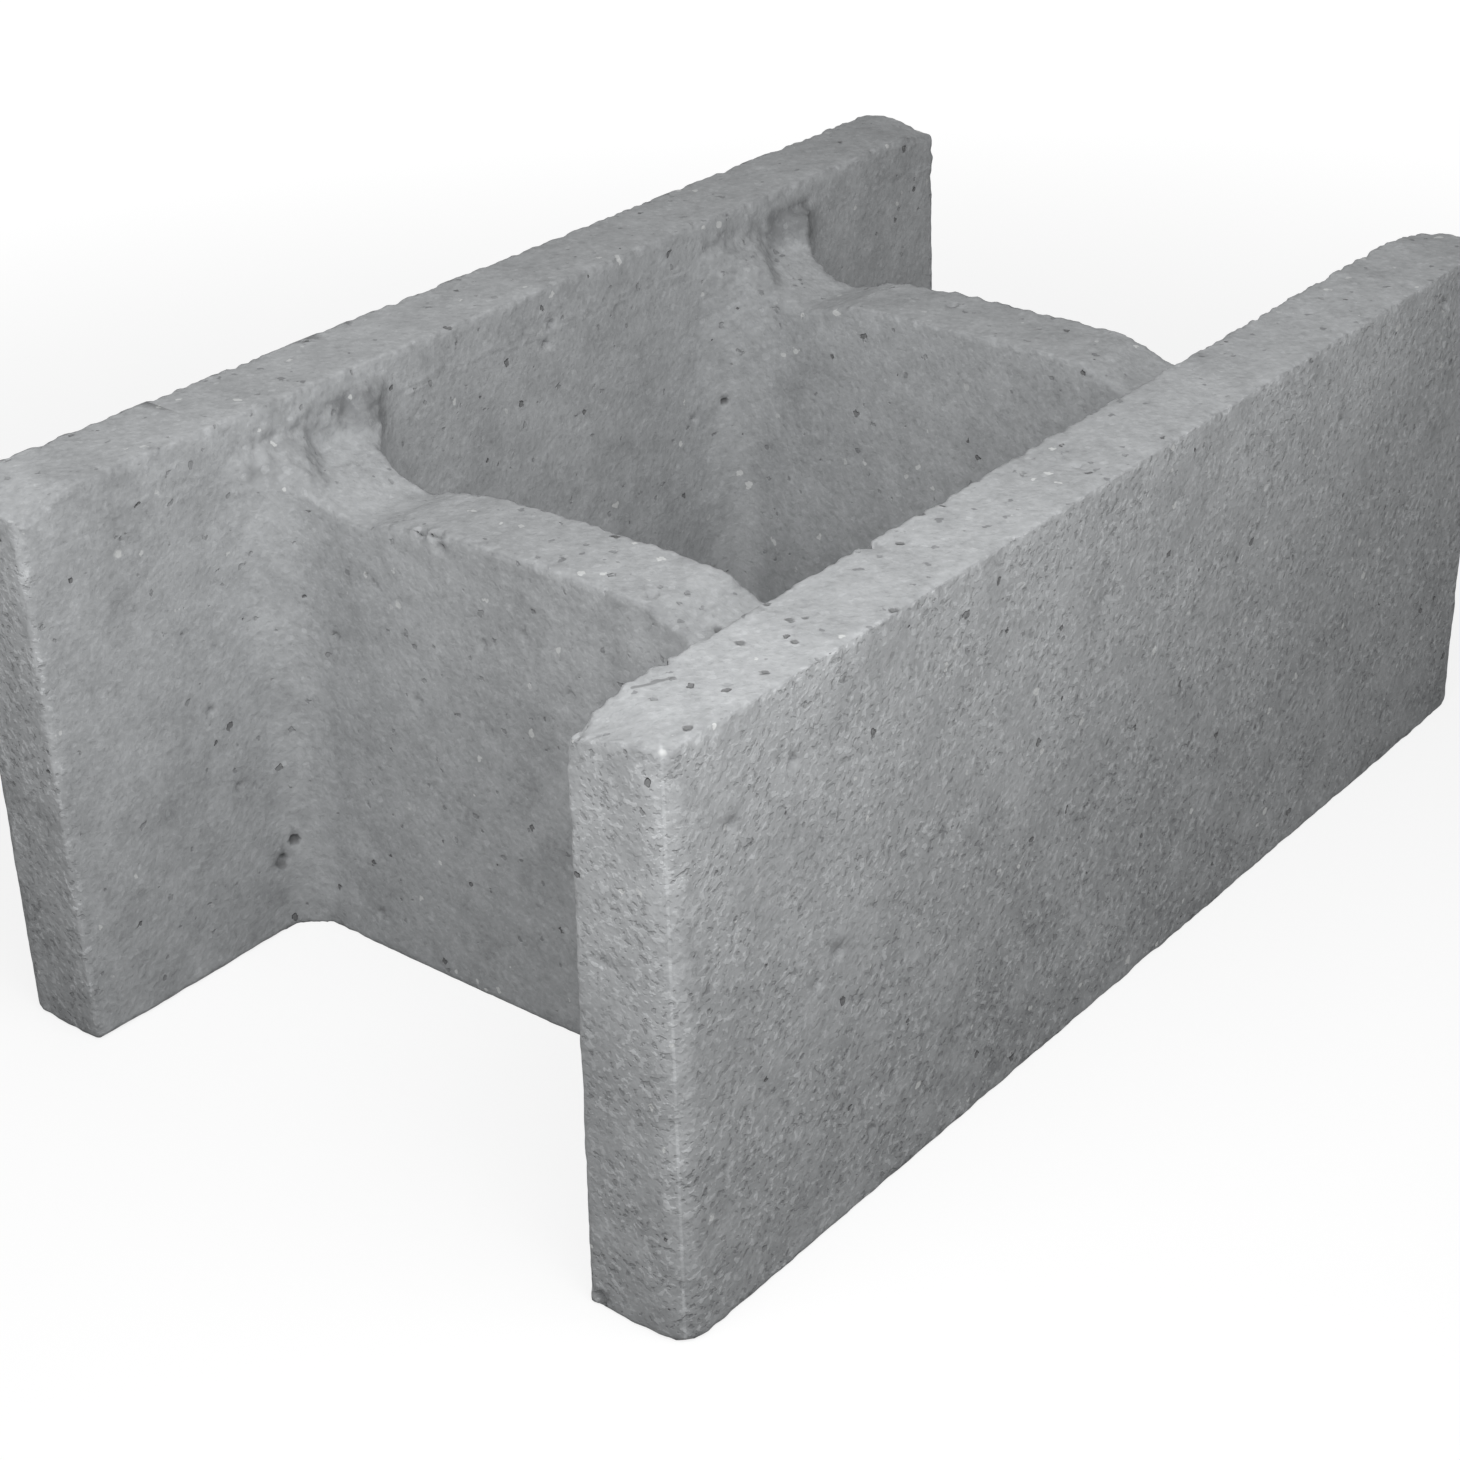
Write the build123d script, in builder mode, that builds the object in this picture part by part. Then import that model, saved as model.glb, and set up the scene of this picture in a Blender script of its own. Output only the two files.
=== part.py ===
from build123d import *
import os

# Dry-stacked concrete formwork block, cast in one piece. Two long shells are
# held apart by two recessed webs. The cells between them are filled with
# concrete on site. Length runs along X, wall thickness along Y, Z is up, and
# the origin is the centre of the underside.

# Overall sizes
block_length = 500.0
block_width = 300.0
block_height = 200.0

# Shells: the cells narrow towards the underside, so the mould core lifts out
shell_top = 35.0
shell_bottom = 38.0
shell_corner = 9.0
shell_mouth = 6.0
shell_rim = 2.5

# Webs: thickness in line with the mouth and the underside of the cells. On
# top they have a flat crown, and a groove beside each shell for a bar
web_top = 33.0
web_bottom = 48.0
web_crown = 172.5
web_crown_half = 56.0
web_shoulder = 20.0
web_groove = 164.5
web_heel = 173.0
web_shoulder_round = 14.0
web_groove_round = 10.0

# Corner radius of a cell in plan, at the mouth and at the underside
cell_corner_top = 28.0
cell_corner_bottom = 13.0

# The webs stand at the quarter points, so that the open end cells of two
# blocks that meet make one full cell
cell_pitch = block_length / 2
cell_count = 3
cell_length_top = cell_pitch - web_top
cell_length_bottom = cell_pitch - web_bottom
cell_width_top = block_width - 2 * shell_top
cell_width_bottom = block_width - 2 * shell_bottom

# The saddle reaches past the corner rounds of the cells on both sides of a web
web_groove_half = web_crown_half + web_shoulder
heel_half =cell_width_bottom / 2 + (shell_bottom - shell_top) * web_heel / block_height
saddle_reach = cell_pitch / 2 + web_bottom / 2 + cell_corner_top

# One cell: a rounded rectangle that grows from the underside to the mouth
with BuildPart() as cell:
    with BuildSketch(Plane.XY):
        RectangleRounded(cell_length_bottom, cell_width_bottom, cell_corner_bottom)
    with BuildSketch(Plane.XY.offset(block_height)):
        RectangleRounded(cell_length_top, cell_width_top, cell_corner_top)
    loft(ruled=True)

# The hollow over the webs, seen along the block, between the two shells
with BuildPart() as saddle:
    with BuildSketch(Plane.YZ):
        with BuildLine():
            floor = FilletPolyline(
                (-heel_half, web_heel),
                (-web_groove_half, web_groove),
                (-web_crown_half, web_crown),
                (web_crown_half, web_crown),
                (web_groove_half, web_groove),
                (heel_half, web_heel),
                radius=[
                    web_groove_round,
                    web_shoulder_round,
                    web_shoulder_round,
                    web_groove_round,
                ],
            )
            Polyline(
                floor @ 1,
                (cell_width_top / 2, block_height),
                (-cell_width_top / 2, block_height),
                floor @ 0,
            )
        make_face()
    extrude(amount=saddle_reach, both=True)

with BuildPart() as block:
    with BuildSketch():
        RectangleRounded(block_length, block_width, shell_corner)
    extrude(amount=block_height)
    with GridLocations(cell_pitch, 0, cell_count, 1):
        add(cell.part, mode=Mode.SUBTRACT)
    add(saddle.part, mode=Mode.SUBTRACT)
    # Rounds down the inner corners at the open ends of the shells
    end_faces = block.faces().filter_by(Plane.YZ).filter_by(
        lambda face: abs(face.center().X) > block_length / 2 - shell_corner
    )
    mouth_edges = end_faces.edges().filter_by(
        lambda edge: abs(edge.center().Y) < block_width / 2 - shell_corner
        and edge.length >= block_height
    )
    fillet(mouth_edges, shell_mouth)
    # Rims of the two top faces
    fillet(block.faces().filter_by(Plane.XY).group_by(Axis.Z)[-1].edges(), shell_rim)

block.part.label = "block"
os.makedirs("parts", exist_ok=True)
export_step(block.part, "parts/block.step")
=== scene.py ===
"""Looks of a concrete formwork block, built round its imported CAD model.

Two long shells and two recessed webs are closed surfaces on number grids. They are
fused into one skin, which is then worn, pitted and roughened as cast concrete is.
Shapes are worked out in millimetres and go into the mesh in metres.
"""
import math
from functools import reduce
from itertools import product

import bpy
import numpy as np
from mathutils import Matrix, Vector


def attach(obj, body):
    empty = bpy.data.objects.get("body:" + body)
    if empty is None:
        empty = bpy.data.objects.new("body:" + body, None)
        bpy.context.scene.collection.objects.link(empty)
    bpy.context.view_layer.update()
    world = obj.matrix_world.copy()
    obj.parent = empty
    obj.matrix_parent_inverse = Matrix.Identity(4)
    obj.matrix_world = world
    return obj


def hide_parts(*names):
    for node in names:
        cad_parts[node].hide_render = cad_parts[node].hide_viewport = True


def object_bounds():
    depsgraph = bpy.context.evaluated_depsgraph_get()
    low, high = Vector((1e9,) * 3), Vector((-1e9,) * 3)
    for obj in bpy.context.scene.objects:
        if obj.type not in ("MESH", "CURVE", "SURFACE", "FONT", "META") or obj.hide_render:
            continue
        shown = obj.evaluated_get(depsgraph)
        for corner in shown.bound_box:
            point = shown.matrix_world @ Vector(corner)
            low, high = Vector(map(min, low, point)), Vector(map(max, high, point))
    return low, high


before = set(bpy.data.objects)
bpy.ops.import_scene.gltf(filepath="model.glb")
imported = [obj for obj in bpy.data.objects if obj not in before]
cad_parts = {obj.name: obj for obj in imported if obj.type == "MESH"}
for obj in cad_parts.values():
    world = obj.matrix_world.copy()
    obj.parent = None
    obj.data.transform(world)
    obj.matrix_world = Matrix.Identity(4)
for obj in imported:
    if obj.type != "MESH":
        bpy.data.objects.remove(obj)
cad_low, cad_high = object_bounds()

MM = 0.001

# The block, as the CAD source has it
LENGTH, WIDTH, HEIGHT = 500.0, 300.0, 200.0
SHELL_TOP, SHELL_BOTTOM = 35.0, 38.0
SHELL_CORNER = 9.0
WEB_TOP, WEB_BOTTOM = 33.0, 48.0
WEB_PLACE = LENGTH / 4
FLARE_TOP, FLARE_BOTTOM = 28.0, 13.0

# Radius of the edges between a shell's end and the cell, at the top and the underside,
# and radius of a shell's rims
LIP_TOP, LIP_BOTTOM = 3.0, 1.5
RIM = 0.5

# Saddle of each web: height along the web, from the front shell to the back shell, and
# half the width over which its bends are rounded
SADDLE_Y = (-115.0, -71.0, -58.0, -51.0, 0.0, 36.0, 57.0, 72.0, 80.0, 92.0, 103.0, 116.0)
SADDLE_Z = {
    -WEB_PLACE: (
        171.0, 164.6, 170.6, 172.4, 172.8, 172.2, 169.8, 165.0, 164.8, 169.5, 173.5, 176.5,
    ),
    WEB_PLACE: (
        171.0, 165.6, 171.2, 173.0, 173.2, 173.0, 171.6, 166.6, 165.2, 169.0, 173.0, 176.0,
    ),
}
SADDLE_ROUND = 2.8

# Where a web meets the back shell, the tamper's shoe pressed a patch. Its left side has
# a start along the web, a place across it, and a slant to the right for each millimetre
# along. The patch ends at a broken line, given as places across and along
SHOE_START, SHOE_LEFT = 87.0, -17.5
SHOE_SLANT = {-WEB_PLACE: 0.76, WEB_PLACE: 0.9}
SHOE_END = {
    -WEB_PLACE: ((6.0, 16.0, 23.0), (116.0, 113.0, 108.5)),
    WEB_PLACE: ((4.0, 16.0, 22.0), (115.0, 110.5, 104.0)),
}

# Slope behind the patch: rise for each millimetre, and the height where it stops
END_STEEP = 4.0
END_TOP = {-WEB_PLACE: 192.0, WEB_PLACE: 188.0}

# Rough mound left of the patch: width of the step up to it, where it starts, where it
# has its lower height, the way from there to its higher one, the most of that way that
# it takes, both heights, and how far it is rounded down at its edge
MOUND_SIDE, MOUND_START, MOUND_FRONT = 8.0, 84.0, 91.0
MOUND_RUN, MOUND_PART = 23.0, 1.2
MOUND_LOW, MOUND_HIGH, MOUND_ROUND = 170.5, 186.0, 7.0

# Worn top corners on the cell side of the shells' ends: end, side, how far they sink.
# The wear reaches this far along and across the shell, and starts at a height
WORN_CORNERS = ((-1, -1, 6.6), (-1, 1, 6.0), (1, -1, 3.5), (1, 1, 4.5))
WORN_REACH, WORN_FOOT = 26.0, 178.0

# Points of the grids: round a shell's corner and up its wall; along a web's wall, round
# its flare, up its wall and over its top. A web runs on into the shells by these steps
TURN_POINTS, SHELL_POINTS = 9, 42
WALL_POINTS, FLARE_POINTS, RISE_POINTS, OVER_POINTS = 60, 27, 46, 60
WEB_INTO = (7.0, 14.0)

# The height of a web's top at its wall: first guess, and rounds that settle it
TOP_GUESS, TOP_ROUNDS = 172.0, 5

# Width of the skin's first faces, and how many triangles it keeps
GRAIN = 1.35
FACES_KEPT = 196000

# Wear of the edges: rounds of smoothing, how far these move a point on a full edge, the
# mean share of the way that is kept, and its unevenness
WEAR_ROUNDS, EDGE_MOVE, WEAR_MEAN = 5, 0.35, 0.15
WEAR_LAYERS = ((0.9, 11.0, 11),)

# Layers of roughness all over, on the edges and on the mounds, and of clouds in the
# tone: height, width of the bumps, seed
SKIN_LAYERS = ((0.26, 70.0, 21), (0.24, 15.0, 22), (0.12, 6.5, 23), (0.06, 3.6, 24))
EDGE_LAYERS = ((0.8, 9.0, 25), (0.8, 4.0, 26))
MOUND_LAYERS = ((0.9, 8.0, 27), (0.8, 3.8, 28))
FLECK_LAYERS = ((1.0, 13.0, 41),)
CLOUD_LAYERS = ((0.10, 60.0, 42), (0.11, 22.0, 43), (0.09, 11.0, 44))

# Round pits: how much deeper they are than a sphere, then spacing, share of the places
# used, smallest and largest radius, seed
PIT_DEPTH = 1.25
PITS = (21.0, 0.22, (0.9, 2.2), 31)

# Pits and chips seen in the photograph: place and radius
SEEN_PITS = (
    # outer face and end of the front shell
    (-195.1, -150.0, 173.3, 1.9), (-222.9, -150.0, 166.0, 1.6), (-185.4, -150.0, 93.8, 1.6),
    (48.8, -150.0, 47.4, 1.8), (126.8, -150.0, 166.3, 1.6), (205.7, -150.0, 187.0, 2.0),
    (-158.3, -150.0, 25.0, 1.7), (-250.0, -116.8, 3.5, 2.6), (-250.0, -125.4, 125.9, 1.3),
    # cell side of the back shell
    (-160.5, 112.6, 28.5, 2.7), (-157.4, 114.7, 181.1, 1.7), (-183.5, 113.5, 99.5, 1.7),
    (0.2, 114.8, 184.6, 1.7), (-3.7, 114.7, 177.8, 1.9), (80.1, 113.8, 119.1, 1.6),
    # webs
    (-148.5, 75.4, 13.7, 1.9), (-143.6, 69.2, 145.3, 1.5), (-144.7, 89.8, 119.8, 1.8),
    (-145.0, 51.6, 107.2, 1.5), (-143.8, 19.4, 137.9, 1.5), (-143.5, 0.0, 146.3, 1.4),
    (-144.1, -18.8, 130.6, 1.4), (-142.7, 36.9, 167.4, 2.0), (-142.8, 46.3, 170.6, 3.0),
    (-142.8, 39.0, 172.4, 3.2), (-135.5, -48.4, 172.6, 2.0), (130.2, 21.8, 173.4, 2.4),
    # top of the front shell
    (-114.4, -116.7, 200.0, 2.6), (-209.2, -114.8, 199.6, 2.2), (-247.7, -117.5, 195.0, 1.7),
    (-244.0, -116.6, 195.5, 1.6),
)

# Dark hollows seen on the near top face, painted dark as shade: place and radius
SEEN_HOLLOWS = (
    (-187.5, -125.9, 199.8, 1.6), (-197.3, -142.1, 199.8, 1.5), (-167.8, -128.3, 199.8, 1.6),
    (-164.2, -130.9, 199.8, 1.3), (-177.9, -137.7, 199.8, 1.2), (-234.2, -145.3, 199.8, 1.4),
    (-163.7, -116.8, 199.8, 1.3), (-209.2, -115.4, 199.8, 1.7), (-248.6, -119.5, 196.5, 1.6),
    (-244.5, -118.0, 196.8, 1.4), (-107.6, -123.6, 199.8, 1.4), (-145.5, -148.4, 199.8, 1.7),
)

# Slit seen on the near top face, painted dark as shade, in plan: both ends and the half width
SEEN_SLIT = (-225.5, -119.2, -214.5, -124.2, 0.9)

# Pale stones seen in the photograph, and first a painted highlight where light falls on the
# front shell's top corner: place and radius
SEEN_STONES_AND_HIGHLIGHT = (
    (-246.8, -147.1, 198.6, 1.3), (-212.5, 114.5, 170.4, 1.6),
    (-144.0, 58.5, 141.0, 1.6), (-145.5, 58.0, 63.0, 1.5),
)

# Colours: darkest and lightest paste, pale stones, which also paint a highlight, and the painted
# shade inside pits and pores
DARK_PASTE = (0.250, 0.256, 0.262, 1)
PALE_PASTE = (0.582, 0.596, 0.607, 1)
PALE_STONE = (0.80, 0.81, 0.80, 1)
PORE_SHADE = (0.085, 0.085, 0.085, 1)
WHITE = (1, 1, 1, 1)

# Floor: half its width in millimetres, its grey, its glow near the block, and the
# distances in metres between which the glow grows to full
FLOOR_REACH = 4000.0
FLOOR_GREY, FLOOR_GLOW = 0.2, 0.80
GLOW_NEAR, GLOW_FAR = 0.35, 1.3

# Strength of the even light from all round
WORLD_LIGHT = 0.17

# Lamps: name, azimuth and elevation in degrees, then distance, size and the point that
# the lamp faces in metres, with its energy before that point
NEAR_CORNER, MIDDLE = (-0.25, -0.15, 0.2), (-0.15, -0.08, 0.15)
LAMPS = (
    ("key", -135, 45, 0.66, 0.5, 2.45, NEAR_CORNER),
    ("left", 175, 45, 0.68, 0.5, 2.55, NEAR_CORNER),
    ("right", -85, 45, 0.68, 0.5, 2.05, NEAR_CORNER),
    ("front", -90, 52, 1.3, 0.9, 1.5, MIDDLE),
    ("behind", 65, 20, 1.6, 1.2, 2.2, (0.0, 0.0, 0.1)),
    ("over", -135, 80, 1.2, 1.0, 1.0, (-0.05, -0.02, 0.12)),
)

# Camera: frame and focal length in pixels of the photograph, where the line of sight
# meets the frame, place in metres, angles in degrees, width of the sensor
PHOTO, FOCAL = 1460, 2807.7
CENTRE_X, CENTRE_Y = 778.5, 650.5
CAMERA_PLACE = (-0.72976, -0.56902, 0.55771)
CAMERA_ANGLES = (62.7675, 0.9423, -52.1060)
SENSOR = 36


# ---------------------------------------------------------------- number grids

def ramp(values, low, high):
    """0 at low, 1 at high, straight between and held outside. With low over high it
    falls."""
    return np.clip((values - low) / (high - low), 0, 1)


def above(values, low, high):
    """0 below low, 1 above high, and 3t^2 - 2t^3 of the ramp between."""
    part = ramp(values, low, high)
    return part * part * (3 - 2 * part)


def shell_thickness(z):
    """Thickness of a shell, straight from the underside to the top."""
    return SHELL_BOTTOM + (SHELL_TOP - SHELL_BOTTOM) * z / HEIGHT


def web_half(z):
    """Half the thickness of a web, straight from the underside to the mould's mouth."""
    return (WEB_BOTTOM + (WEB_TOP - WEB_BOTTOM) * z / HEIGHT) / 2


def flare_radius(z):
    """Radius of the concave corner between web and shell, straight with height."""
    return FLARE_BOTTOM + (FLARE_TOP - FLARE_BOTTOM) * z / HEIGHT


def saddle_height(place, y):
    """Mean of the web's broken line over a window of y, which rounds its bends."""
    window = np.linspace(-SADDLE_ROUND, SADDLE_ROUND, 9)
    return np.interp(np.add.outer(y, window), SADDLE_Y, SADDLE_Z[place]).mean(axis=-1)


def close_rings(rings):
    """Rings of points, shaped (ring, point, 3), with the mean point of the first ring
    before them and that of the last ring after them, so that fans close both ends."""
    first = np.broadcast_to(rings[:1].mean(axis=1, keepdims=True), rings[:1].shape)
    last = np.broadcast_to(rings[-1:].mean(axis=1, keepdims=True), rings[-1:].shape)
    return np.concatenate([first, rings, last])


def shell_rings(side):
    """One shell. Each ring is a rounded rectangle in plan at one height: corner centre
    plus radius times (cos, sin). Ring heights follow the wall, and at both rims a
    quarter circle draws the ring inwards."""
    turn = np.linspace(0, math.pi / 2, TURN_POINTS)
    rise = np.concatenate([
        RIM * (1 - np.cos(turn)),
        np.linspace(RIM, HEIGHT - RIM, SHELL_POINTS)[1:-1],
        HEIGHT - RIM + RIM * np.sin(turn),
    ])
    inset = np.concatenate([
        RIM * (1 - np.sin(turn)),
        np.zeros(SHELL_POINTS - 2),
        RIM * (1 - np.cos(turn)),
    ])
    lip = LIP_BOTTOM + (LIP_TOP - LIP_BOTTOM) * rise / HEIGHT
    outer = np.full_like(rise, SHELL_CORNER)
    inner_face = WIDTH / 2 - shell_thickness(rise)
    corners = (
        (1, WIDTH / 2 - outer, outer, 0.0),
        (-1, WIDTH / 2 - outer, outer, 0.5 * math.pi),
        (-1, inner_face + lip, lip, math.pi),
        (1, inner_face + lip, lip, 1.5 * math.pi),
    )
    parts = []
    for end, centre, radius, start in corners:
        angle = start + turn
        reach = (radius - inset)[:, None]
        x = end * (LENGTH / 2 - radius)[:, None] + reach * np.cos(angle)
        y = centre[:, None] + reach * np.sin(angle)
        z = np.broadcast_to(rise[:, None], x.shape)
        parts.append(np.stack([x, side * y, z], axis=-1))
    return close_rings(np.concatenate(parts, axis=1))


def web_height(place, x, y):
    """Height of a web's top over the plan. Within the pressed patch it is the saddle's.
    To its left, a smooth step leads to the mound, which rises straight from its lower
    height towards the back shell, and is rounded down by a square law towards the
    flare's face: half the web plus radius less the root of radius squared less run
    squared. Behind the patch a straight slope leads up to a height of its own."""
    across = x - place
    left = SHOE_LEFT + SHOE_SLANT[place] * (y - SHOE_START) - across
    outside = above(left, 0, MOUND_SIDE)
    outside = outside * above(y, MOUND_START, MOUND_FRONT)
    part = np.clip((y - MOUND_FRONT) / MOUND_RUN, 0, MOUND_PART)
    mound = MOUND_LOW + (MOUND_HIGH - MOUND_LOW) * part
    radius = flare_radius(mound)
    run = np.clip(y - (WIDTH / 2 - shell_thickness(mound) - radius), 0, radius)
    face = web_half(mound) + radius - np.sqrt(radius ** 2 - run ** 2)
    near = 1 - ramp(face - np.abs(across), 0, MOUND_ROUND)
    mound = mound - MOUND_ROUND * near ** 2
    saddle = saddle_height(place, y)
    behind = np.clip(y - np.interp(across, *SHOE_END[place]), 0, None)
    slope = np.clip(saddle + END_STEEP * behind, None, END_TOP[place])
    return np.maximum(saddle + outside * np.clip(mound - saddle, 0, None), slope)


def web_rings(place):
    """One web. Each ring is a section across the web: up one wall, across the top and
    down the other wall. Along the web, a station is a run of the straight wall, then an
    angle of the flare: wall plus radius times (1 - cos), run plus radius times sin."""
    turn = np.linspace(0, math.pi / 2, FLARE_POINTS)
    past = len(WEB_INTO)
    straight = np.linspace(0, 1, WALL_POINTS + 1)[:-1]
    bend = np.concatenate([np.zeros(WALL_POINTS), turn, np.full(past, math.pi / 2)])
    along = np.concatenate([straight, np.ones(FLARE_POINTS + past)])
    into = np.concatenate([np.zeros(WALL_POINTS + FLARE_POINTS), WEB_INTO])

    def wall(z, end, side):
        radius = flare_radius(z)
        x = place + side * (web_half(z) + radius * (1 - np.cos(bend)))
        start = WIDTH / 2 - shell_thickness(z) - radius
        return x, end * (along * start + radius * np.sin(bend) + into)

    share = np.linspace(0, 1, RISE_POINTS)
    step = np.linspace(0, 1, OVER_POINTS)[1:-1, None]
    sections = []
    for end in (-1, 1):
        sides = []
        for side in (1, -1):
            top = np.full_like(bend, TOP_GUESS)
            for _ in range(TOP_ROUNDS):
                top = web_height(place, *wall(top, end, side))
            levels = [
                np.stack([*wall(top * part, end, side), top * part], axis=-1)
                for part in share
            ]
            sides.append(np.stack(levels, axis=1))
        right, left = sides
        over = right[:, -1:] + (left[:, -1:] - right[:, -1:]) * step
        over[..., 2] = web_height(place, over[..., 0], over[..., 1])
        ring = np.concatenate([right, over, left[:, ::-1]], axis=1)
        sections.append(ring[::-1] if end < 0 else ring[1:])
    return close_rings(np.concatenate(sections))


def ring_faces(rings, offset):
    """Quads between ring i and i + 1 and between point j and j + 1, closed round."""
    count, size = rings.shape[:2]
    index = np.arange(count * size).reshape(count, size) + offset
    across = np.roll(index, -1, axis=1)
    quads = np.stack([index[:-1], across[:-1], across[1:], index[1:]], axis=-1)
    return quads.reshape(-1, 4)


# ---------------------------------------------------------------- meshes and arrays

def place_points(mesh, points):
    """Puts the vertices of a mesh at these places, in millimetres."""
    mesh.vertices.foreach_set("co", (points * MM).astype(np.float32).ravel())
    mesh.update()


def mesh_of(name, points, faces):
    """Mesh from whole arrays: points in millimetres, faces all of one size."""
    mesh = bpy.data.meshes.new(name)
    size = faces.shape[1]
    mesh.vertices.add(len(points))
    place_points(mesh, points)
    mesh.loops.add(faces.size)
    mesh.loops.foreach_set("vertex_index", faces.astype(np.int32).ravel())
    mesh.polygons.add(len(faces))
    mesh.polygons.foreach_set("loop_start", np.arange(0, faces.size, size, dtype=np.int32))
    mesh.update(calc_edges=True)
    mesh.validate()
    return mesh


def rows_of(items, name, width, kind=np.float32):
    """One property of all items of a mesh, as an array with a row for each."""
    flat = np.empty(len(items) * width, kind)
    items.foreach_get(name, flat)
    return flat.reshape(-1, width)


def points_of(mesh):
    """All vertex places of a mesh, in millimetres."""
    return rows_of(mesh.vertices, "co", 3).astype(float) / MM


def normals_of(mesh):
    """Outward unit normals of all vertices."""
    return rows_of(mesh.vertex_normals, "vector", 3).astype(float)


def finished(obj):
    """The mesh of an object with its modifiers applied, put in the place of its own."""
    graph = bpy.context.evaluated_depsgraph_get()
    mesh = bpy.data.meshes.new_from_object(obj.evaluated_get(graph))
    obj.modifiers.clear()
    obj.data = mesh
    return mesh


def neighbour_mean(values, edges, count):
    """Mean of each vertex's neighbours, summed over the edges both ways."""
    ends = np.concatenate([edges[:, 0], edges[:, 1]])
    others = np.concatenate([edges[:, 1], edges[:, 0]])
    degree = np.bincount(ends, minlength=count)[:, None]
    sums = [np.bincount(ends, column[others], minlength=count) for column in values.T]
    return np.stack(sums, axis=1) / degree


# ---------------------------------------------------------------- seeded roughness

def cell_numbers(cells, seed, count):
    """A seeded whole number below count for each integer cell: its three indices times
    large primes, joined bit by bit."""
    mixed = cells[..., 0] * 73856093 ^ cells[..., 1] * 19349663 ^ cells[..., 2] * 83492791
    return (mixed ^ seed * 2654435761) % 1000003 % count


def soft_noise(points, size, seed):
    """Gradient noise of about -1 to 1. Each corner of a cube of this size has a seeded
    direction, whose products with the way from the corner are blended across the cube
    by 6t^5 - 15t^4 + 10t^3."""
    ways = np.random.default_rng(seed).normal(size=(1024, 3))
    ways /= np.linalg.norm(ways, axis=1, keepdims=True)
    scaled = points / size
    base = np.floor(scaled).astype(np.int64)
    part = scaled - base
    blend = part ** 3 * (part * (part * 6 - 15) + 10)
    total = np.zeros(len(points))
    for corner in product((0, 1), repeat=3):
        way = ways[cell_numbers(base + corner, seed, 1024)]
        weight = np.where(corner, blend, 1 - blend).prod(axis=1)
        total += weight * ((part - corner) * way).sum(axis=1)
    return total * 1.7


def layered_noise(points, layers):
    """Sum of soft noises, each times its own height."""
    return sum(height * soft_noise(points, size, seed) for height, size, seed in layers)


def bowl(points, centre, radius):
    """Depth of a round pit: the root of radius squared less distance squared."""
    away = ((points - centre) ** 2).sum(axis=1)
    return np.sqrt(np.clip(radius ** 2 - away, 0, None))


def seeded_pits(points, spacing, share, radii, seed):
    """Depth of seeded pits. Each cube of the given spacing holds one seeded centre, used
    for the given share of cubes. Small radii are more frequent than large ones, by the
    square of a draw."""
    draws = np.random.default_rng(seed).random((4096, 5))
    base = np.floor(points / spacing).astype(np.int64)
    depth = np.zeros(len(points))
    for step in product((-1, 0, 1), repeat=3):
        cells = base + step
        draw = draws[cell_numbers(cells, seed, 4096)]
        centre = (cells + 0.15 + 0.7 * draw[:, :3]) * spacing
        radius = radii[0] + (radii[1] - radii[0]) * draw[:, 3] ** 2
        radius = np.where(draw[:, 4] < share, radius, 0)
        depth = np.maximum(depth, bowl(points, centre, radius))
    return depth


def pit_depth(points):
    """Depth of the round pits, both the seeded ones and those seen."""
    depth = seeded_pits(points, *PITS)
    for *centre, radius in SEEN_PITS:
        depth = np.maximum(depth, bowl(points, centre, radius))
    return depth


# ---------------------------------------------------------------- the block

def sink_corners(points):
    """Lowers the tops of the shells' ends towards the cell: depth times the share of the
    way in from the outer face, times a smooth step along the last stretch of the shell."""
    x, y, z = points.T
    sink = np.zeros(len(points))
    for end, side, depth in WORN_CORNERS:
        inwards = ramp(WIDTH / 2 - SHELL_CORNER - side * y, 0, WORN_REACH)
        outwards = above(end * x - LENGTH / 2 + WORN_REACH, 0, WORN_REACH)
        here = (end * x > 0) & (side * y > 0)
        sink += depth * inwards * outwards * above(z, WORN_FOOT, WORN_FOOT + 20) * here
    return np.stack([x, y, z - sink], axis=1)


def end_slopes(points):
    """1 on the steep slopes behind the pressed patches, 0 elsewhere: smooth steps over
    the way behind the patch, the way across the web, the height, and the way in from
    the back shell's face."""
    x, y, z = points.T
    mark = np.zeros(len(points))
    for place, line in SHOE_END.items():
        across = x - place
        behind = above(y - np.interp(across, *line), -0.5, 1.5)
        near = above(across, -4, 2) * above(across, 40, 30)
        mark += behind * near * above(z, 174, 177) * above(z, 196, 190)
    return mark * above(y, 121, 117)


def rough_places(points):
    """1 on the mounds beside and above the ends of the saddles, 0 elsewhere: a smooth
    step over the way left of the pressed patch, right of it or behind it, limited along
    and across the web, in height, and by the back shell's face."""
    x, y, z = points.T
    place = np.where(x < 0, -WEB_PLACE, WEB_PLACE)
    across = x - place
    slant = np.where(x < 0, SHOE_SLANT[-WEB_PLACE], SHOE_SLANT[WEB_PLACE])
    beside = SHOE_LEFT - 2.0 + slant * (y - SHOE_START) - across
    beyond = np.maximum(across - 23.0, y - 113.0)
    near = (1 - above(np.abs(across), 26, 40)) * above(y, 84, 90)
    high = above(z, 170, 176) * above(z, 195, 190) * above(y, 121, 117)
    return above(np.maximum(beside, beyond), 0, 3) * near * high


def write_marks(mesh, name, values):
    """A number for each vertex, which the material reads by this name."""
    mark = mesh.attributes.new(name, "FLOAT", "POINT")
    mark.data.foreach_set("value", values.astype(np.float32))


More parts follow.
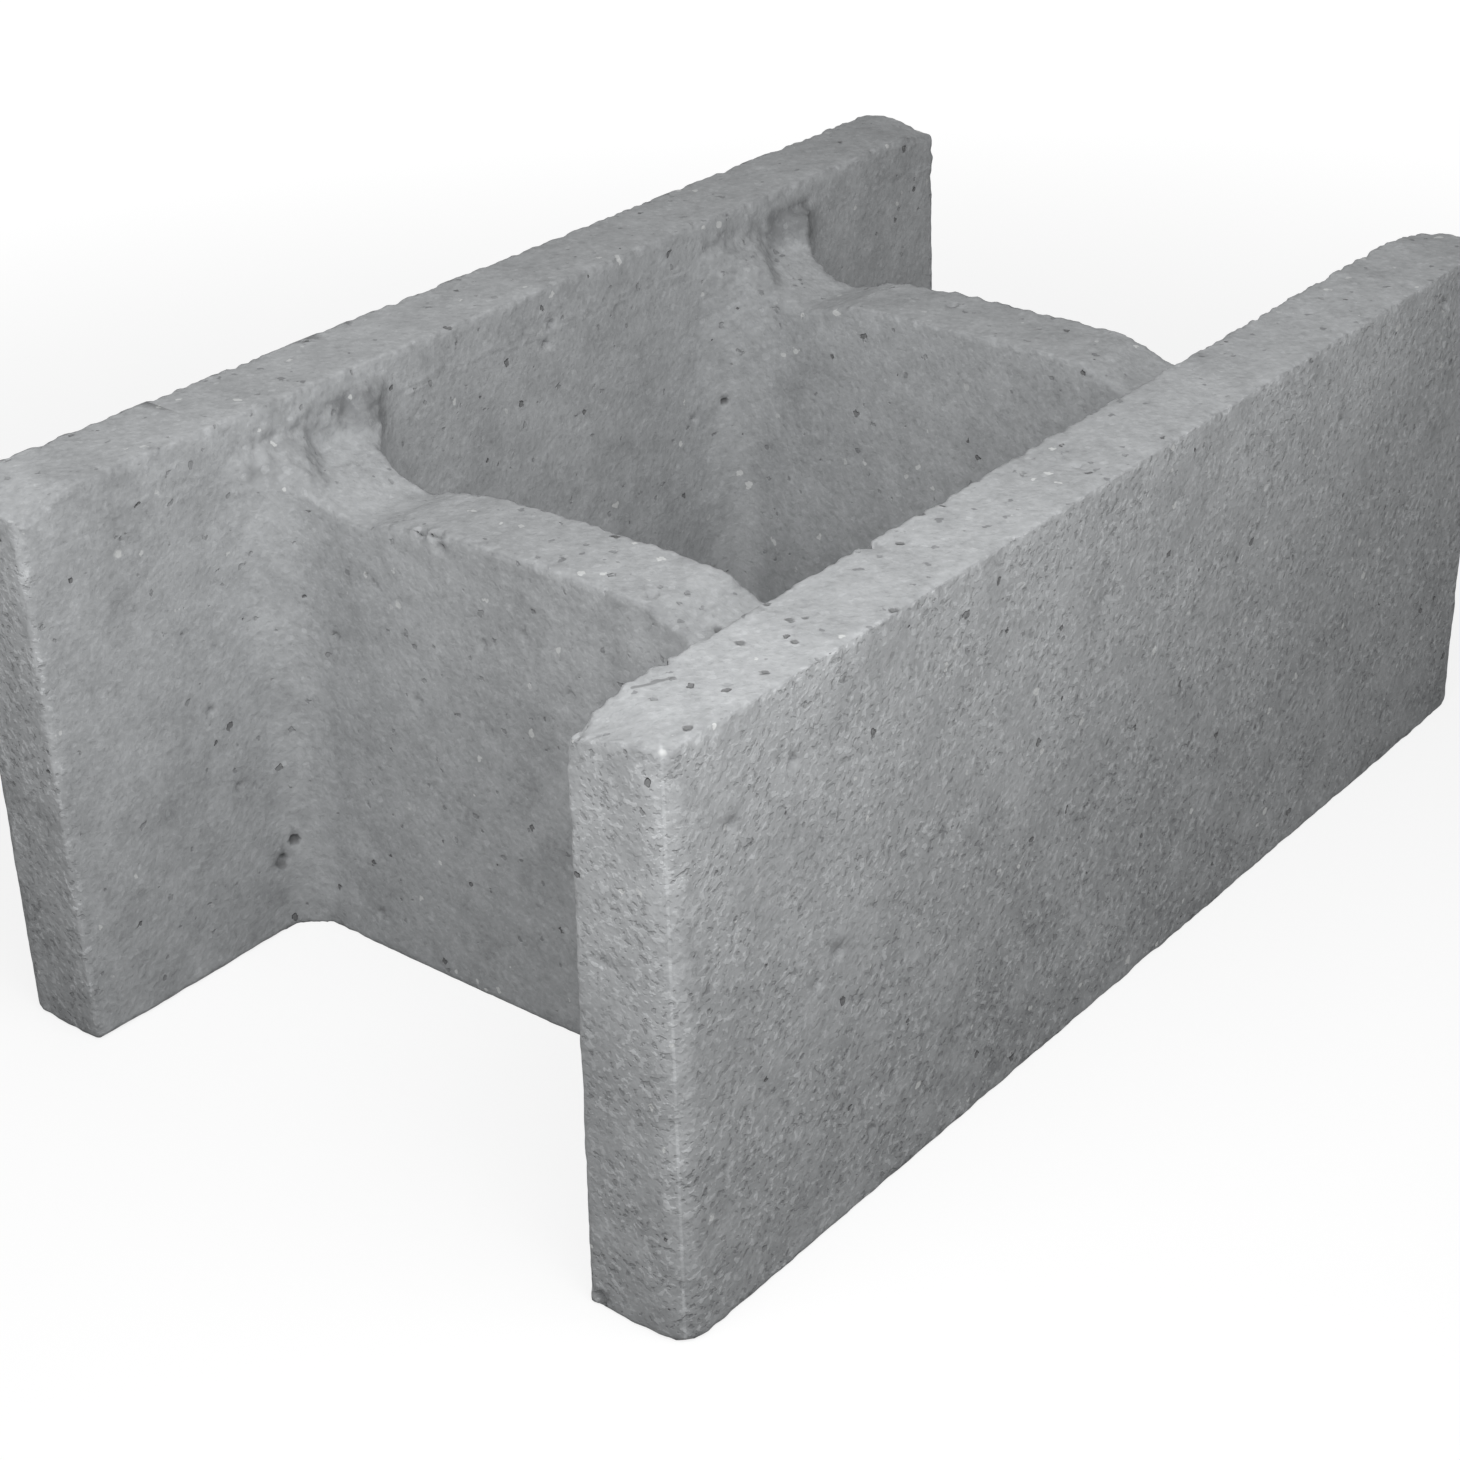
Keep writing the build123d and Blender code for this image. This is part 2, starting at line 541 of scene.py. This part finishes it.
def mark_faces(mesh):
    """Marks what the mould did, and where the material paints shade. Scraped: the outer
    and end faces, which slid along it, in clouds of flecks. Pressed: whatever faces up,
    which the tamper smoothed. Rim: where the material paints shade, on the slopes between
    the two, the rough mounds, and most of all the steep slopes behind the patches. Pit:
    inside a round pit, which the material paints dark as shade. Clouds: the broad
    unevenness of the tone."""
    points, upright = points_of(mesh), normals_of(mesh)[:, 2]
    outer = np.maximum(np.abs(points[:, 0]) - LENGTH / 2, np.abs(points[:, 1]) - WIDTH / 2)
    upward = ramp(upright, 0.45, 0.85)
    flecked = 0.25 + 0.75 * above(layered_noise(points, FLECK_LAYERS), -0.52, 0.28)
    slope = ramp(upright, 0.20, 0.45) * ramp(upright, 0.93, 0.83)
    # Painted shade: darker edges between faces, rough mounds, and most of all the steep slopes
    # behind the patches
    rim_shade = np.maximum(slope, rough_places(points)) + 2.4 * end_slopes(points)
    write_marks(mesh, "scraped", ramp(outer, -4, -2) * (1 - upward) * flecked)
    write_marks(mesh, "pressed", upward)
    write_marks(mesh, "rim_shade", rim_shade)
    write_marks(mesh, "pit", np.clip(pit_depth(points), 0, 1))
    write_marks(mesh, "clouds", layered_noise(points, CLOUD_LAYERS))


def build_block():
    """Fuses the closed grids, wears their edges, roughens their faces and thins the
    skin to fewer faces."""
    grids = [shell_rings(-1), shell_rings(1)]
    grids += [web_rings(-WEB_PLACE), web_rings(WEB_PLACE)]
    sizes = [rings.shape[0] * rings.shape[1] for rings in grids]
    starts = np.concatenate([[0], np.cumsum(sizes)[:-1]])
    points = np.concatenate([rings.reshape(-1, 3) for rings in grids])
    faces = np.concatenate([ring_faces(*pair) for pair in zip(grids, starts)])
    block = bpy.data.objects.new("concrete_block", mesh_of("concrete_block", points, faces))
    bpy.context.scene.collection.objects.link(block)

    fuse = block.modifiers.new("fuse", "REMESH")
    fuse.mode = "VOXEL"
    fuse.voxel_size = GRAIN * MM
    mesh = finished(block)

    points = sink_corners(points_of(mesh))
    edges = rows_of(mesh.edges, "vertices", 2, np.int32)
    even = points
    for _ in range(WEAR_ROUNDS):
        even = 0.5 * even + 0.5 * neighbour_mean(even, edges, len(points))
    edge_mask = above(np.linalg.norm(even - points, axis=1), 0, EDGE_MOVE)
    wear = np.clip(WEAR_MEAN + layered_noise(points, WEAR_LAYERS), 0.0, 1.0)
    points = points + (even - points) * wear[:, None]
    place_points(mesh, points)

    ragged = edge_mask * (0.25 + 0.75 * above(points[:, 2], 155, 175))
    rise = layered_noise(points, SKIN_LAYERS)
    rise += ragged * layered_noise(points, EDGE_LAYERS)
    rise += rough_places(points) * layered_noise(points, MOUND_LAYERS)
    rise -= PIT_DEPTH * pit_depth(points)
    points = points + normals_of(mesh) * rise[:, None]
    points = np.clip(points, np.array(cad_low) / MM, np.array(cad_high) / MM)
    place_points(mesh, points)

    thin = block.modifiers.new("thin", "DECIMATE")
    thin.ratio = FACES_KEPT / (2 * len(mesh.polygons))
    mesh = finished(block)
    mesh.shade_smooth()
    mark_faces(mesh)
    return block


block = build_block()
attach(block, "root")
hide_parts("block")


# ---------------------------------------------------------------- shader maths

class Wire:
    """A socket in a material's tree. An operator adds the Math node that it names."""

    def __init__(self, tree, socket):
        self.tree, self.socket = tree, socket

    def node(self, kind, settings=(), sockets=(), output=0):
        return add_node(self.tree, kind, settings, sockets, output)

    def output(self, number):
        """Another output of the same node."""
        return Wire(self.tree, self.socket.node.outputs[number])

    def math(self, operation, *values):
        return self.node("ShaderNodeMath", {"operation": operation}, dict(enumerate(values)))

    def __add__(self, other):
        return self.math("ADD", self, other)

    __radd__ = __add__

    def __sub__(self, other):
        return self.math("SUBTRACT", self, other)

    def __rsub__(self, other):
        return self.math("SUBTRACT", other, self)

    def __mul__(self, other):
        return self.math("MULTIPLY", self, other)

    __rmul__ = __mul__

    def __truediv__(self, other):
        return self.math("DIVIDE", self, other)

    def __pow__(self, other):
        return self.math("POWER", self, other)

    def __abs__(self):
        return self.math("ABSOLUTE", self)

    def above(self, low, high):
        """0 below low, 1 above high, smooth between. With low over high it falls."""
        settings = {"interpolation_type": "SMOOTHSTEP"}
        return self.node("ShaderNodeMapRange", settings, {0: self, 1: low, 2: high})

    def largest(self, other):
        return self.math("MAXIMUM", self, other)

    def smallest(self, other):
        return self.math("MINIMUM", self, other)


def add_node(tree, kind, settings=(), sockets=(), output=0):
    """Adds a node, sets its settings, then gives each named or numbered socket its value
    or link, and wraps one of its outputs."""
    node = tree.nodes.new(kind)
    for name, value in dict(settings).items():
        setattr(node, name, value)
    for key, value in dict(sockets).items():
        if isinstance(value, Wire):
            tree.links.new(value.socket, node.inputs[key])
        else:
            node.inputs[key].default_value = value
    return Wire(tree, node.outputs[output]) if node.outputs else None


def empty_material(name):
    """A material with nothing in its tree, and that tree."""
    material = bpy.data.materials.new(name)
    material.use_nodes = True
    material.node_tree.nodes.clear()
    return material, material.node_tree


def own_place(tree):
    """Place on the object, in metres."""
    return add_node(tree, "ShaderNodeTexCoord", output=3)


def attribute(tree, name):
    """The number that the mesh carries under this name."""
    return add_node(tree, "ShaderNodeAttribute", {"attribute_name": name}, output=2)


def turned(place):
    """The place turned, so that no face lies along a pattern's own grid, and moved clear
    of the middle of the patterns."""
    sockets = {"Vector": place, "Location": (0.31,) * 3, "Rotation": (0.5, 0.35, 0.8)}
    return place.node("ShaderNodeMapping", {}, sockets)


def noise(place, size, detail):
    """Noise of about -0.5 to 0.5, with bumps about this many millimetres wide."""
    sockets = {"Vector": place, "Scale": 1 / (size * MM), "Detail": detail}
    return place.node("ShaderNodeTexNoise", {}, sockets) - 0.5


def grit_cells(place, spacing):
    """One seeded point in each cell: the distance to the nearest, in millimetres, and
    that point's two numbers, its chance and its size."""
    sockets = {"Vector": place, "Scale": 1 / (spacing * MM)}
    away = place.node("ShaderNodeTexVoronoi", {}, sockets)
    numbers = place.node("ShaderNodeSeparateColor", {}, {0: away.output(1)})
    return away * spacing, numbers, numbers.output(1)


def grit(cells, radius, low, high, ragged):
    """Specks: 1 within about the radius of the points whose chance is between low and
    high. Ragged is added to the distance and makes the outline uneven."""
    away, chance, size = cells
    inside = (radius * (0.45 + 0.55 * size) - away - ragged).above(-0.10, 0.35)
    return inside * chance.above(low - 0.01, low + 0.01) * chance.above(high + 0.01, high - 0.01)


def spots(place, ragged, seen):
    """1 within the radius of any of the spots seen: a step over the least of the
    distances, each in radii. Ragged makes the outline uneven."""
    radii_away = []
    for *spot, radius in seen:
        sockets = {0: place, 1: tuple(value * MM for value in spot)}
        away = place.node("ShaderNodeVectorMath", {"operation": "DISTANCE"}, sockets, output=1)
        radii_away.append(away / (radius * MM))
    return (reduce(Wire.smallest, radii_away) + 0.35 * ragged).above(1.2, 0.45)


def slit_mark(axes, wobble, start_x, start_y, end_x, end_y, radius):
    """1 within the radius of a line between two points in plan, in millimetres. Wobble
    is added to the place."""
    x, y = axes / MM - start_x, axes.output(1) / MM - start_y + wobble
    run_x, run_y = end_x - start_x, end_y - start_y
    share = (x * run_x + y * run_y) / (run_x ** 2 + run_y ** 2)
    share = share.smallest(1).largest(0)
    away = ((x - share * run_x) ** 2 + (y - share * run_y) ** 2) ** 0.5
    return (away / radius + 0.5 * wobble).above(1.2, 0.4)


def seam_mark(axes, clouds, patch):
    """1 on the lines where the mould's halves met, down the four outer corners: within
    less than a millimetre of the corner's diagonal, and within 5 mm of the ends."""
    diagonal = abs(axes) - abs(axes.output(1)) - (LENGTH - WIDTH) / 2 * MM
    aside = abs(diagonal + 0.5 * MM * patch)
    at_end = abs(axes).above((LENGTH / 2 - 6) * MM, (LENGTH / 2 - 4) * MM)
    return aside.above(0.9 * MM, 0.3 * MM) * at_end * (0.6 + 2.0 * clouds + 1.8 * patch)


def mixed(factor, first, second):
    """Colour between two colours by a number."""
    sockets = {0: factor, 6: first, 7: second}
    return factor.node("ShaderNodeMix", {"data_type": "RGBA"}, sockets, output=2)


def concrete():
    """Cast concrete. Tone is 0 for the darkest paste and 1 for the lightest: clouds,
    patches, sand, flecks where the mould scraped, pale and dark grit, painted light that
    lightens the top and painted shade that darkens the foot, most on the outer faces,
    painted shade on slopes, rough mounds, pits and hollows, and a pale seam down the
    outer corners. Pores, pits, hollows and the slit are painted near black as shade, and
    one pale spot is a painted highlight. Relief follows the fine parts."""
    material, tree = empty_material("cast_concrete")
    place = own_place(tree)
    names = ("scraped", "pressed", "rim_shade", "pit", "clouds")
    scraped, pressed, rim_shade, pit, clouds = (attribute(tree, name) for name in names)
    axes = place.node("ShaderNodeSeparateXYZ", {}, {0: place})
    # Height from -1 at the foot to 1 at the top, which drives painted light at the top and
    # painted shade at the foot
    height = axes.output(2) * (2 / (HEIGHT * MM)) - 1

    askew = turned(place)
    patch = noise(askew, 6.0, 2.0)
    sand = noise(askew, 2.0, 1.0)
    fleck = noise(askew, 2.5, 2.0)
    ragged = 3.0 * patch + 3.6 * sand
    pale_flecks = fleck.above(0.05, 0.15)
    dark_flecks = fleck.above(-0.07, -0.17)
    picked = 0.3 + 0.7 * scraped

    cells = grit_cells(askew, 5.5)
    pale_grit = grit(cells, 1.4, 0.0, 0.30, ragged)
    bright_grit_and_highlight = grit(cells, 1.5, 0.30, 0.36, ragged)
    # Seeded hollows on the tops, painted dark as shade
    hollows = grit(cells, 1.5, 0.60, 0.72, ragged) * pressed
    cells = grit_cells(askew, 7.0)
    dark_grit = grit(cells, 1.1, 0.0, 0.50, ragged)
    pores = grit(cells, 1.5, 0.55, 0.62, ragged)
    # The first pale spot seen is a painted highlight where light falls on the front shell's top
    # corner; the others are pale stones
    bright_grit_and_highlight = bright_grit_and_highlight.largest(spots(place, ragged, SEEN_STONES_AND_HIGHLIGHT))
    seen_hollows = spots(place, ragged, SEEN_HOLLOWS)
    slit = slit_mark(axes, 6 * patch, *SEEN_SLIT) * pressed
    seam = seam_mark(axes, clouds, patch)

    tone = 0.5 + clouds + 0.50 * patch + 0.30 * sand
    # Painted light and shade: lighter towards the top and darker towards the foot, most on the
    # outer faces; then painted shade on edges, slopes and mounds
    tone = tone + height * (0.10 + 0.18 * scraped) - 0.08 * pressed - 0.20 * rim_shade
    tone = tone + picked * (0.40 * pale_flecks - 0.30 * dark_flecks) + 0.34 * seam
    # Dark and pale grit are the paste's own; the darkening in pits and hollows is painted shade
    tone = tone - 0.26 * dark_grit + 0.22 * pale_grit - 0.5 * pit - 0.45 * hollows
    colour = mixed(tone, DARK_PASTE, PALE_PASTE)
    colour = mixed(0.6 * bright_grit_and_highlight, colour, PALE_STONE)
    # Painted shade: pores, pits, the slit and the dark hollows mixed towards near black
    dark = (0.65 * pores).largest(0.5 * pit).largest(0.5 * slit).largest(0.6 * seen_hollows)
    colour = mixed(dark, colour, PORE_SHADE)

    relief = 0.5 * sand + picked * (0.3 * fleck + 0.2 * pale_flecks - 0.35 * dark_flecks)
    relief = relief - 0.4 * dark_grit - 1.3 * pores.largest(seen_hollows)
    bump = add_node(tree, "ShaderNodeBump", {}, {
        "Strength": 1.0,
        "Distance": 0.5 * MM,
        "Height": relief,
    })
    shader = add_node(tree, "ShaderNodeBsdfPrincipled", {}, {
        "Base Color": colour,
        "Roughness": 0.91 + 0.12 * sand,
        "Specular IOR Level": 0.2,
        "Normal": bump,
    })
    add_node(tree, "ShaderNodeOutputMaterial", {}, {"Surface": shader})
    return material


block.data.materials.clear()
block.data.materials.append(concrete())


# ---------------------------------------------------------------- floor, light, camera

def seen_directly(tree):
    """1 for rays of the camera, mirrors and glass, 0 for the rays that carry light."""
    names = ("Is Camera Ray", "Is Glossy Ray", "Is Transmission Ray")
    return reduce(Wire.largest, [
        add_node(tree, "ShaderNodeLightPath", output=name) for name in names])


def pale_floor():
    """Diffuse grey that takes the block's shadow, with a glow that makes it white where
    it is seen. The glow sends no light to the block, and is full away from it."""
    material, tree = empty_material("pale_floor")
    grey = add_node(tree, "ShaderNodeBsdfDiffuse", {}, {"Color": (FLOOR_GREY,) * 3 + (1,)})
    place = own_place(tree)
    away = place.node("ShaderNodeVectorMath", {"operation": "LENGTH"}, {0: place}, output=1)
    growth = away.above(GLOW_NEAR, GLOW_FAR)
    glow = seen_directly(tree) * (FLOOR_GLOW + (1 - FLOOR_GLOW) * growth)
    shine = add_node(tree, "ShaderNodeEmission", {}, {"Color": WHITE, "Strength": glow})
    both = add_node(tree, "ShaderNodeAddShader", {}, {0: grey, 1: shine})
    add_node(tree, "ShaderNodeOutputMaterial", {}, {"Surface": both})
    return material


def studio_world():
    """White where it is seen, and an even grey light from all round."""
    world = bpy.data.worlds.new("studio")
    world.use_nodes = True
    tree = world.node_tree
    tree.nodes.clear()
    seen = seen_directly(tree)
    strength = seen + (1 - seen) * WORLD_LIGHT
    shine = add_node(tree, "ShaderNodeBackground", {}, {"Color": WHITE, "Strength": strength})
    add_node(tree, "ShaderNodeOutputWorld", {}, {"Surface": shine})
    return world


def soft_lamp(name, azimuth, elevation, distance, size, energy, aim):
    """A square lamp at this azimuth, elevation and distance from the point it faces."""
    azimuth, elevation = math.radians(azimuth), math.radians(elevation)
    way = Vector((
        math.cos(azimuth) * math.cos(elevation),
        math.sin(azimuth) * math.cos(elevation),
        math.sin(elevation),
    ))
    data = bpy.data.lights.new(name, "AREA")
    data.size = size
    data.energy = energy
    lamp = bpy.data.objects.new(name, data)
    lamp.location = Vector(aim) + way * distance
    lamp.rotation_euler = way.to_track_quat("Z", "Y").to_euler()
    return lamp


def photo_camera():
    """The camera that was fitted to the photograph: lens by focal length over frame, and
    a shift to where the line of sight meets the frame."""
    data = bpy.data.cameras.new("camera")
    data.sensor_width = SENSOR
    data.lens = FOCAL / PHOTO * SENSOR
    data.shift_x = (PHOTO / 2 - CENTRE_X) / PHOTO
    data.shift_y = (CENTRE_Y - PHOTO / 2) / PHOTO
    camera = bpy.data.objects.new("camera", data)
    camera.location = CAMERA_PLACE
    camera.rotation_euler = [math.radians(angle) for angle in CAMERA_ANGLES]
    return camera


corners = FLOOR_REACH * np.array([(-1, -1, 0), (1, -1, 0), (1, 1, 0), (-1, 1, 0)], float)
floor = bpy.data.objects.new("floor", mesh_of("floor", corners, np.array([[0, 1, 2, 3]])))
floor.data.materials.append(pale_floor())
camera = photo_camera()

scene = bpy.context.scene
scene.view_settings.view_transform = "Standard"
scene.world = studio_world()
for thing in (floor, *(soft_lamp(*lamp) for lamp in LAMPS), camera):
    scene.collection.objects.link(thing)
scene.camera = camera
